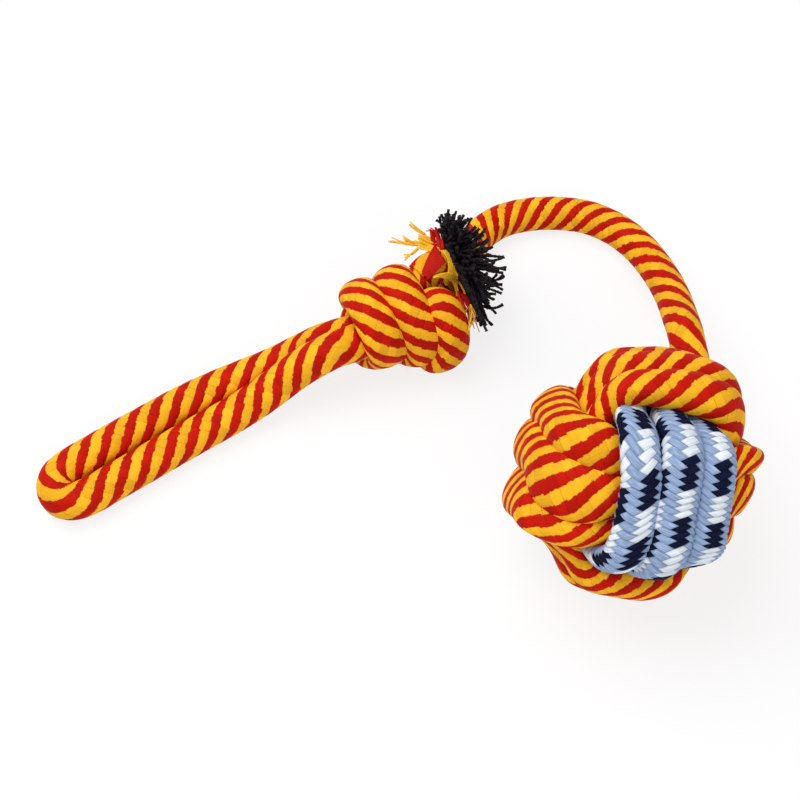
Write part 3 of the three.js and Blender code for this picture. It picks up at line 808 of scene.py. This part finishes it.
braid_step = BRAID_LEAD / (2 * CARRIERS * CELL_CUTS)
line, outs, halves = evenly(braid_step, band_line, band_outs, band_halves)
ahead, up, aside = line.T
spread = UPPER_SPREAD * eased(up, 0.006, 0.018) * eased(aside, 0.004, 0.010) * eased(ahead, 0.0, 0.012)
line[:, 2] += spread
places, faces, weave, finishes = braid_shape(ball_middle + in_ball(line, 0), in_ball(outs, 0), halves)
blue_strands = make_piece("blue_strands", settled(pulled_tight(places)), faces, weave, carriers, finishes)
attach(blue_strands, "ball")
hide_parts("blue_winding")


# The filler: a ball of dark yarn, wound this way and that. The three bands are tied round it, and
# it shows only between their strands.
FILLER_ROWS = 72
FILLER_SIDES = 96
FILLER_RISE = 0.0005
WINDING_POLES = ((1, 0.2, 0), (0.1, 1, 0.3), (0.4, 0.1, 1))
YARN_TURNS = 17
YARN_FLATNESS = 0.7
ROWS_A_REPEAT = 9
FIBRE_SHEEN = 0.15
FIBRE_BUMP = 0.35
FIBRE_RELIEF = 0.0002


def fibre_finish(name, colour, lighter, twist):
    """Twisted or flat bundles of fibres, lighter where single ones catch the light."""
    finish, field, shader = new_finish(name, Specular_IOR_Level=FIBRE_SHEEN)
    turn, reach = field.weave()
    round_way = field.math("SINE", turn * (2 * math.pi))
    strands = field.grain(field.vector(round_way * 2.2, reach * 5.0 + turn * twist, turn), scale=3.0)
    feed(shader, "Base Color", field.mix(strands.ramp(0.48, 0.78), colour, lighter))
    feed(shader, "Roughness", strands.ramp(0.2, 0.8, 0.5, 0.75))
    feed(shader, "Normal", strands.bump(FIBRE_BUMP, FIBRE_RELIEF))
    return finish


dark_yarn = fibre_finish("dark_yarn", tint(14, 9, 14), tint(60, 46, 60), twist=6.0)
core_radius = (core_high[2] - core_low[2]) / 2
fall = np.linspace(0, math.pi, FILLER_ROWS)[1:-1]
around = np.arange(FILLER_SIDES) / FILLER_SIDES * 2 * math.pi
fall, around = np.meshgrid(fall, around, indexing="ij")
ways = np.stack([np.sin(fall) * np.cos(around), np.sin(fall) * np.sin(around), np.cos(fall)], axis=2)
slopes = [np.arccos(np.clip(ways @ unit(np.array(pole)), -1, 1)) for pole in WINDING_POLES]
ridges = np.max([np.abs(np.sin(YARN_TURNS * slope)) ** YARN_FLATNESS for slope in slopes], axis=0)
shell = ball_middle + ways * (core_radius - FILLER_RISE * (1 - ridges))[:, :, None]
pole_reach = np.array((0, 0, core_radius))
places = np.vstack([shell.reshape(-1, 3), ball_middle + pole_reach, ball_middle - pole_reach])
faces, weave = [], []
bands = FILLER_ROWS - 2
for row in range(bands - 1):
    here, below = row * FILLER_SIDES, (row + 1) * FILLER_SIDES
    near, far = row / ROWS_A_REPEAT, (row + 1) / ROWS_A_REPEAT
    for side in range(FILLER_SIDES):
        after = (side + 1) % FILLER_SIDES
        faces.append((here + side, below + side, below + after, here + after))
        left, right = side / FILLER_SIDES, (side + 1) / FILLER_SIDES
        weave += [left, near, left, far, right, far, right, near]
top_pole = bands * FILLER_SIDES
last = (bands - 1) * FILLER_SIDES
for side in range(FILLER_SIDES):
    after = (side + 1) % FILLER_SIDES
    faces.append((top_pole, side, after))
    faces.append((top_pole + 1, last + after, last + side))
    weave += [0.0] * 12
filler = make_piece("ball_filler", pulled_tight(places), faces, weave, [dark_yarn])
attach(filler, "ball")
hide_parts("ball_core")


# The stub: the rope's cut end, which comes out from under the middle wrap. Its cover is still
# whole up to the cut.
STUB_ROUTE = [(0.0120, 0.0098), (0.0150, 0.0110), (0.0190, 0.0114), (0.0220, 0.0112), (0.0232, 0.0111)]
STUB_HALVES = (0.0060, 0.0065)
STUB_START = 0.0065
CUT_DEPTH = 0.0012

stub_line, = evenly(ROPE_STEP, smooth_line([in_knot(along, out, TAIL_STRAND) for along, out in STUB_ROUTE]))
tail_way = headings(stub_line)[-1]
cut_end = stub_line[-1] - CUT_DEPTH * tail_way
stub_halves = np.linspace(*STUB_HALVES, len(stub_line))[:, None] * (1, 1)
stub_reach = STUB_START + reaches(stub_line)
places, faces, weave = rope_shape(stub_line, carried_side(stub_line, UP), stub_halves, stub_reach)
stub = make_piece("cut_stub", places, faces, weave, [striped])
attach(stub, "knot")
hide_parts("tail_cover")


# The mop: the yarns of the rope's core, each of two plies twisted together. The stub holds them,
# and beyond the cut they have opened and stand out every way.

# Each yarn: its size, its twist and how it bends
YARN = 0.00052
YARN_SIZES = (0.85, 1.15)
YARN_LENGTHS = (0.0185, 0.0240)
YARN_SIDES = 10
YARN_STEP = 0.0007
YARN_LAY = 0.0034
PLY_DEPTH = 0.42
PLY_SHIFT = 4000
TIP_FULLER = 0.25
TIP_LENGTH = 0.0018
YARN_PIECES = 30
YARN_WAVE = 0.28
WAVE_ANGLE = 9
TURNED_BY = 0.32
CURLS_FROM = 0.35
CURL = 3.4
CURLED_SHARE = 0.20
DROOP = 0.22

# All of them together: how they are spread, and how far they open and lean
YARNS = 250
GOLDEN_ANGLE = 2.39996
ROOT_DEPTH = 0.001
MOP_SPREAD = 0.0043
MOP_OPENING = 60
RIGHT_OPENING = 32
RIGHT_BREADTH = 0.3
MIDDLE_LEAN = 0.15
OUTER_LEAN = 0.88
LEAN_STRAY = 8
AZIMUTH_STRAY = 0.25
LOWER_LONGER = 0.28
UPPER_SHORTER = 0.22
MOP_EDGE = 0.0030
ROOT_EDGE = 0.005
EDGE_FROM = 0.25
EDGE_HOLD = 0.5

# The room that the knot and the table take up
KNOT_ROOM = WRAP_RING + WRAP_THICK / 2 + 0.0008
KNOT_END = 0.0225
KNOT_SHOULDER = 0.006
LOOSE_HEIGHT = 0.0009

ACROSS = np.array((1.0, 0.0, 0.0))
ALONG = np.cross(towards_viewer, ACROSS)
# A side to start from, which no loose end runs along
ANY_SIDE = unit(np.array((0.3, 0.5, 0.8)))
mop_way = unit(0.86 * ACROSS + 0.16 * ALONG + 0.48 * towards_viewer)
mop_right = unit(ACROSS - mop_way * (ACROSS @ mop_way))
mop_up = np.cross(mop_way, mop_right)
mop_edge_way = unit(0.905 * ACROSS + 0.425 * ALONG)
draw = random.Random(11)


def mop_side(angle):
    return math.cos(angle) * mop_right + math.sin(angle) * mop_up


def any_way():
    return np.array([draw.gauss(0, 1) for axis in range(3)])


def clear_of_knot(line):
    """Loose ends lie on the knot and the table, not in them."""
    reach = (line - KNOT_MIDDLE) @ KNOT_AXIS
    aside = line - KNOT_MIDDLE - reach[:, None] * KNOT_AXIS
    out = np.linalg.norm(aside, axis=1)
    room = KNOT_ROOM * np.clip((KNOT_END - reach) / KNOT_SHOULDER, 0, 1) ** 0.5
    line = line + aside / out[:, None] * np.maximum(room - out, 0)[:, None]
    return np.stack([line[:, 0], line[:, 1], np.maximum(line[:, 2], LOOSE_HEIGHT)], axis=1)


def joined(shapes):
    """Many closed shapes as one."""
    places, faces, weave, count = [], [], [], 0
    for more_places, more_faces, more_weave in shapes:
        places.append(more_places)
        faces += [[corner + count for corner in face] for face in more_faces]
        weave.append(more_weave)
        count += len(more_places)
    return np.vstack(places), faces, np.concatenate(weave)


def yarn_line(root, aim, length, curl, phase, sway):
    """A yarn's way out of the stub: it turns to its aim, waves, curls and droops."""
    line = [root]
    at = root
    for step in np.linspace(0, 1, YARN_PIECES)[1:]:
        turned = eased(step, 0, TURNED_BY)
        way = (1 - turned) * tail_way + turned * aim
        wave = np.cross(aim, sway) * YARN_WAVE * math.sin(WAVE_ANGLE * step + phase)
        bend = sway * curl * max(0, step - CURLS_FROM) ** 1.5
        way = unit(way + wave * turned + bend - DROOP * step * step * UP)
        at = at + way * length / YARN_PIECES
        # It keeps to its own side of the mop's edge
        edge = MOP_EDGE * min(1, step / EDGE_FROM) - ROOT_EDGE * max(0, 1 - step / EDGE_FROM)
        behind = edge - (at - cut_end) @ mop_edge_way
        at = at + max(0, behind) * EDGE_HOLD * mop_edge_way
        line.append(at)
    return np.array(line)


def yarn_shape(line, radius):
    """A yarn of two plies twisted together, a little fuller at its cut tip."""
    line, = evenly(YARN_STEP, line)
    turn = np.arange(YARN_SIDES) / YARN_SIDES
    reach = reaches(line)[:, None]
    plies = np.abs(np.sin(2 * math.pi * (turn + reach / YARN_LAY) + line[0, 0] * PLY_SHIFT))
    tip = 1 + TIP_FULLER * np.clip(1 - (reach[-1] - reach) / TIP_LENGTH, 0, 1)
    relief = radius * PLY_DEPTH * (1 - plies)
    halves = radius * tip * (1.0, 1.0)
    return tube_shape(line, carried_side(line, ANY_SIDE), halves, reach[:, 0], relief)


yarns = []
for number in range(YARNS):
    share = math.sqrt((number + 0.5) / YARNS)
    around = GOLDEN_ANGLE * number
    root = cut_end + MOP_SPREAD * share * mop_side(around) - ROOT_DEPTH * tail_way
    azimuth = around + draw.gauss(0, AZIMUTH_STRAY)
    opening = MOP_OPENING + RIGHT_OPENING * (0.5 + 0.5 * math.cos(azimuth)) ** RIGHT_BREADTH
    lean = math.radians(opening * (MIDDLE_LEAN + OUTER_LEAN * share) + draw.gauss(0, LEAN_STRAY))
    aim = math.cos(lean) * mop_way + math.sin(lean) * mop_side(azimuth)
    upward = aim @ ALONG
    length = draw.uniform(*YARN_LENGTHS)
    length = length * (1 + LOWER_LONGER * max(0, -upward) - UPPER_SHORTER * max(0, upward))
    curl = draw.gauss(0, 1.0) + (draw.choice((-CURL, CURL)) if draw.random() < CURLED_SHARE else 0)
    phase = draw.uniform(0, 2 * math.pi)
    line = yarn_line(root, aim, length, curl, phase, unit(any_way()))
    yarns.append(yarn_shape(clear_of_knot(line), YARN * draw.uniform(*YARN_SIZES)))
mop = make_piece("yarn_mop", *joined(yarns), [dark_yarn])
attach(mop, "knot")
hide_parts("yarn_tassel", "tail_core")


# The scraps: flat carriers of the cover, torn at the cut. Some are still side by side as flaps
# that lie on the knot and the stub, and some are frayed into single fibres.
MILLIMETRE = 0.001
CARRIER_HALF = 0.00016
CARRIER_OVERLAP = 1.2
THINNEST_HALF = 0.28
SCRAP_CUTS = 10
SCRAP_STEP = 0.0005
SCRAP_SIDES = 10
SCRAP_LENGTHS = (0.86, 1.0)
FEWEST_ROWS = 6
SINGLE_FIBRE = 0.00030
FIBRE_BUNDLE = 0.00042
WISP_STEP = 0.0006
WISP_SIDES = 6
WISP_TAPER = (1.1, 0.55)
WELL_OVER = 60
SPANNED_ROWS = 3
red_scrap = fibre_finish("red_scrap", tint(190, 22, 8), tint(222, 50, 26), twist=2.0)
yellow_scrap = fibre_finish("yellow_scrap", tint(246, 186, 34), tint(255, 218, 92), twist=2.0)

under_faces, under_places = [], []
for piece in (knot_wraps, stub):
    count = len(under_places)
    under_faces += [[corner + count for corner in face.vertices] for face in piece.data.polygons]
    under_places += [point.co[:] for point in piece.data.vertices]
under = BVHTree.FromPolygons(under_places, under_faces)


def off_cut(across, along, towards):
    """A place near the cut, in millimetres to its right, away from the near side, and over it."""
    return cut_end + MILLIMETRE * (across * ACROSS + along * ALONG + towards * towards_viewer)


def with_neighbours(heights, gathered):
    """Each height gathered with those of the rows next to it."""
    wide = np.pad(heights, SPANNED_ROWS, mode="edge")
    return gathered([wide[k:k + len(heights)] for k in range(2 * SPANNED_ROWS + 1)], axis=0)


def laid(rows):
    """Rows of millimetres to the right of the cut, away from the near side and over what lies there."""
    heights = []
    for across, along, rise in rows:
        hit = under.ray_cast(Vector(off_cut(across, along, WELL_OVER)), Vector(-towards_viewer))[0]
        heights.append((np.array(hit) - cut_end) @ towards_viewer / MILLIMETRE if hit else np.nan)
    heights = np.array(heights)
    found = np.flatnonzero(~np.isnan(heights))
    heights = np.interp(np.arange(len(rows)), found, heights[found]) if len(found) else np.zeros(len(rows))
    # Loose cover spans the hollows between what it lies on
    heights = with_neighbours(with_neighbours(heights, np.max), np.mean)
    return np.array([
        off_cut(across, along, height + rise) for (across, along, rise), height in zip(rows, heights)
    ])


def flap(left, right, rises, count, fray=0.0):
    """Flat carriers side by side between two edges, which part and end unevenly at the tip."""
    left, right = np.array(left), np.array(right)
    widths = np.linalg.norm(right - left, axis=1)
    shapes = []
    for number in range(count):
        part = (number + 0.5) / count
        rail = np.column_stack([left + part * (right - left), rises])
        rows = smooth_line(rail, SCRAP_CUTS)
        share = np.linspace(0, 1, len(rows))
        width = np.interp(share, np.linspace(0, 1, len(left)), widths)
        rows = rows + fray * any_way() * share[:, None] ** 3
        keep = max(FEWEST_ROWS, round(len(rows) * draw.uniform(*SCRAP_LENGTHS)))
        line = laid(rows[:keep])
        way = np.gradient(line, axis=0)
        outs = np.cross(np.cross(way, towards_viewer), way)
        half = MILLIMETRE * np.maximum(width[:keep] / count / 2 * CARRIER_OVERLAP, THINNEST_HALF)
        line, outs, half = evenly(SCRAP_STEP, line, outs, half[:, None])
        halves = np.column_stack([np.full(len(line), CARRIER_HALF), half[:, 0]])
        shapes.append(tube_shape(line, outs, halves, reaches(line), np.zeros((len(line), SCRAP_SIDES))))
    return shapes


def wisps(count, start, end, radius, spread):
    """Single fibres that leave together and stray apart."""
    first, last = np.array(start), np.array(end)
    shapes = []
    for number in range(count):
        stray = any_way()
        middle = (first + last) / 2 + 0.5 * spread * any_way()
        line, = evenly(WISP_STEP, laid(smooth_line([first, middle, last + spread * stray], SCRAP_CUTS)))
        halves = np.linspace(*WISP_TAPER, len(line))[:, None] * (radius, radius)
        outs = carried_side(line, ANY_SIDE)
        shapes.append(tube_shape(line, outs, halves, reaches(line), np.zeros((len(line), WISP_SIDES))))
    return shapes


red_scraps = [
    # The broad one folded back over the stub
    *flap([(-3.7, 6.4), (-6.4, 1.4), (-8.8, -4.8)],
          [(0.2, 0.2), (-1.6, -1.8), (-6.4, -6.6)], [1.1, 1.5, 0.7], 9),
    # The frayed one that stands up behind it
    *flap([(-4.4, 4.8), (-5.2, 9.0), (-5.8, 12.0)],
          [(-0.2, 4.6), (-1.0, 9.8), (-1.6, 12.8)], [0.6, 1.6, 2.4], 7, fray=0.7),
    *wisps(9, (-3.2, 9.6, 1.6), (-4.6, 12.6, 2.4), SINGLE_FIBRE, spread=1.0),
    # Those under the mop
    *flap([(4.6, -2.4), (5.2, -5.4), (6.4, -8.4)],
          [(7.0, -2.0), (7.6, -5.2), (8.2, -8.0)], [1.4, 1.2, 0.8], 4, fray=0.3),
    *flap([(3.8, -10.4), (5.0, -14.2), (7.4, -18.2)],
          [(8.8, -10.0), (9.8, -13.4), (10.8, -17.2)], [0.5, 0.7, 0.8], 8, fray=0.5),
    *wisps(7, (8.6, -14.0, 0.9), (10.0, -20.0, 1.0), SINGLE_FIBRE, spread=1.2),
]
yellow_scraps = [
    # The rim that curls beside the red one, and the star that hangs from it
    *flap([(-1.8, 4.2), (0.4, 1.8), (1.0, -2.2), (0.6, -5.0)],
          [(0.0, 4.4), (3.2, 1.4), (3.4, -2.2), (5.4, -5.6)], [1.0, 1.8, 1.8, 1.6], 5),
    *flap([(4.6, -4.4), (1.2, -3.6), (-2.4, -4.2), (-5.0, -5.2)],
          [(4.6, -7.6), (1.0, -6.2), (-2.2, -5.4), (-5.2, -5.8)], [1.9, 2.1, 1.6, 1.0], 4, fray=0.3),
    *flap([(1.6, -5.0), (3.2, -8.2), (4.4, -11.8)],
          [(3.0, -5.2), (4.4, -8.0), (5.2, -11.6)], [2.2, 1.9, 1.2], 2, fray=0.2),
    *flap([(3.4, -5.0), (5.6, -8.2), (7.6, -12.4)],
          [(5.0, -5.2), (7.0, -7.8), (8.4, -12.0)], [2.4, 2.0, 1.4], 2, fray=0.2),
    *flap([(0.4, -4.8), (-0.6, -6.6), (0.2, -7.8)],
          [(1.6, -5.2), (0.8, -6.8), (1.2, -8.0)], [2.2, 2.6, 1.6], 2),
    # The long one that frays to the upper left
    *flap([(-1.8, 3.2), (-6.6, 4.4), (-11.4, 6.0)],
          [(-1.4, 7.2), (-6.0, 9.6), (-9.4, 11.8)], [0.8, 1.4, 1.4], 8, fray=0.35),
    *wisps(5, (-8.2, 6.4, 1.4), (-19.4, 7.8, 1.6), FIBRE_BUNDLE, spread=0.5),
    *wisps(4, (-8.6, 6.8, 1.2), (-15.3, 8.7, 1.8), FIBRE_BUNDLE, spread=0.6),
    *wisps(4, (-7.2, 10.4, 1.2), (-12.8, 14.1, 2.0), FIBRE_BUNDLE, spread=0.5),
    *wisps(3, (-9.4, 5.6, 1.2), (-14.2, 1.8, 1.4), FIBRE_BUNDLE, spread=0.5),
    # The frayed bits on the last strand
    *flap([(8.8, -10.6), (10.2, -13.0), (11.4, -16.4)],
          [(10.4, -10.4), (11.6, -13.2), (12.2, -16.6)], [1.2, 1.0, 0.8], 3, fray=0.4),
    *wisps(16, (8.8, -15.0, 0.9), (9.6, -21.0, 0.9), SINGLE_FIBRE, spread=1.5),
]
for name, shapes, finish in [
    ("red_scraps", red_scraps, red_scrap),
    ("yellow_scraps", yellow_scraps, yellow_scrap),
]:
    scraps = make_piece(name, *joined(shapes), [finish])
    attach(scraps, "knot")
    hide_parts("torn_cover")


# The floor: a plain white table top in a white room, with soft light from two large lamps.
# What looks at the table or the room directly sees mostly white, and the toy's shadow stays.
TABLE = 3.0
TABLE_COLOUR = (0.9, 0.9, 0.9, 1)
TABLE_WHITE = 0.8
ROOM_LIGHT = 0.40
WHITE = (1, 1, 1, 1)
LAMPS_AIM = np.array((-0.06, 0.05, 0))


def looked_at(field):
    """1 where the camera, a reflection or a clear thing looks, and 0 where light is gathered."""
    kinds = ("Is Camera Ray", "Is Glossy Ray", "Is Transmission Ray")
    first, second, third = (field.node("ShaderNodeLightPath", output=kind) for kind in kinds)
    return field.math("MINIMUM", first + second + third, 1.0)


table_mesh = bpy.data.meshes.new("table")
corners = [(-TABLE, -TABLE, 0), (TABLE, -TABLE, 0), (TABLE, TABLE, 0), (-TABLE, TABLE, 0)]
table_mesh.from_pydata(corners, [], [(0, 1, 2, 3)])
table = bpy.data.objects.new("table", table_mesh)
bpy.context.collection.objects.link(table)
table_finish, field, shader = new_finish(
    "white_table", Base_Color=TABLE_COLOUR, Roughness=0.9, Specular_IOR_Level=0.1)
glow = field.node("ShaderNodeEmission", None, {"Color": WHITE, "Strength": 1.0})
lit = Field(field.tree, shader.outputs[0])
surface = field.node("ShaderNodeMixShader", None, {0: looked_at(field) * TABLE_WHITE, 1: lit, 2: glow})
feed(field.tree.nodes["Material Output"], "Surface", surface)
table_mesh.materials.append(table_finish)

world = bpy.data.worlds.new("room")
bpy.context.scene.world = world
world.use_nodes = True
room = Field(world.node_tree)
background = world.node_tree.nodes["Background"]
background.inputs["Color"].default_value = WHITE
feed(background, "Strength", looked_at(room) * (1 - ROOM_LIGHT) + ROOM_LIGHT)


def lamp(name, size, power, place):
    light = bpy.data.lights.new(name, "AREA")
    light.size = size
    light.energy = power
    holder = bpy.data.objects.new(name, light)
    bpy.context.collection.objects.link(holder)
    holder.location = under_ball + place
    holder.rotation_euler = Vector(LAMPS_AIM - place).to_track_quat("-Z", "Y").to_euler()


lamp("overhead", size=1.0, power=12.4, place=(-0.5, 0.3, 1.1))
lamp("front", size=0.8, power=4.7, place=(0.4, -0.9, 0.8))
bpy.context.scene.view_settings.view_transform = "Standard"
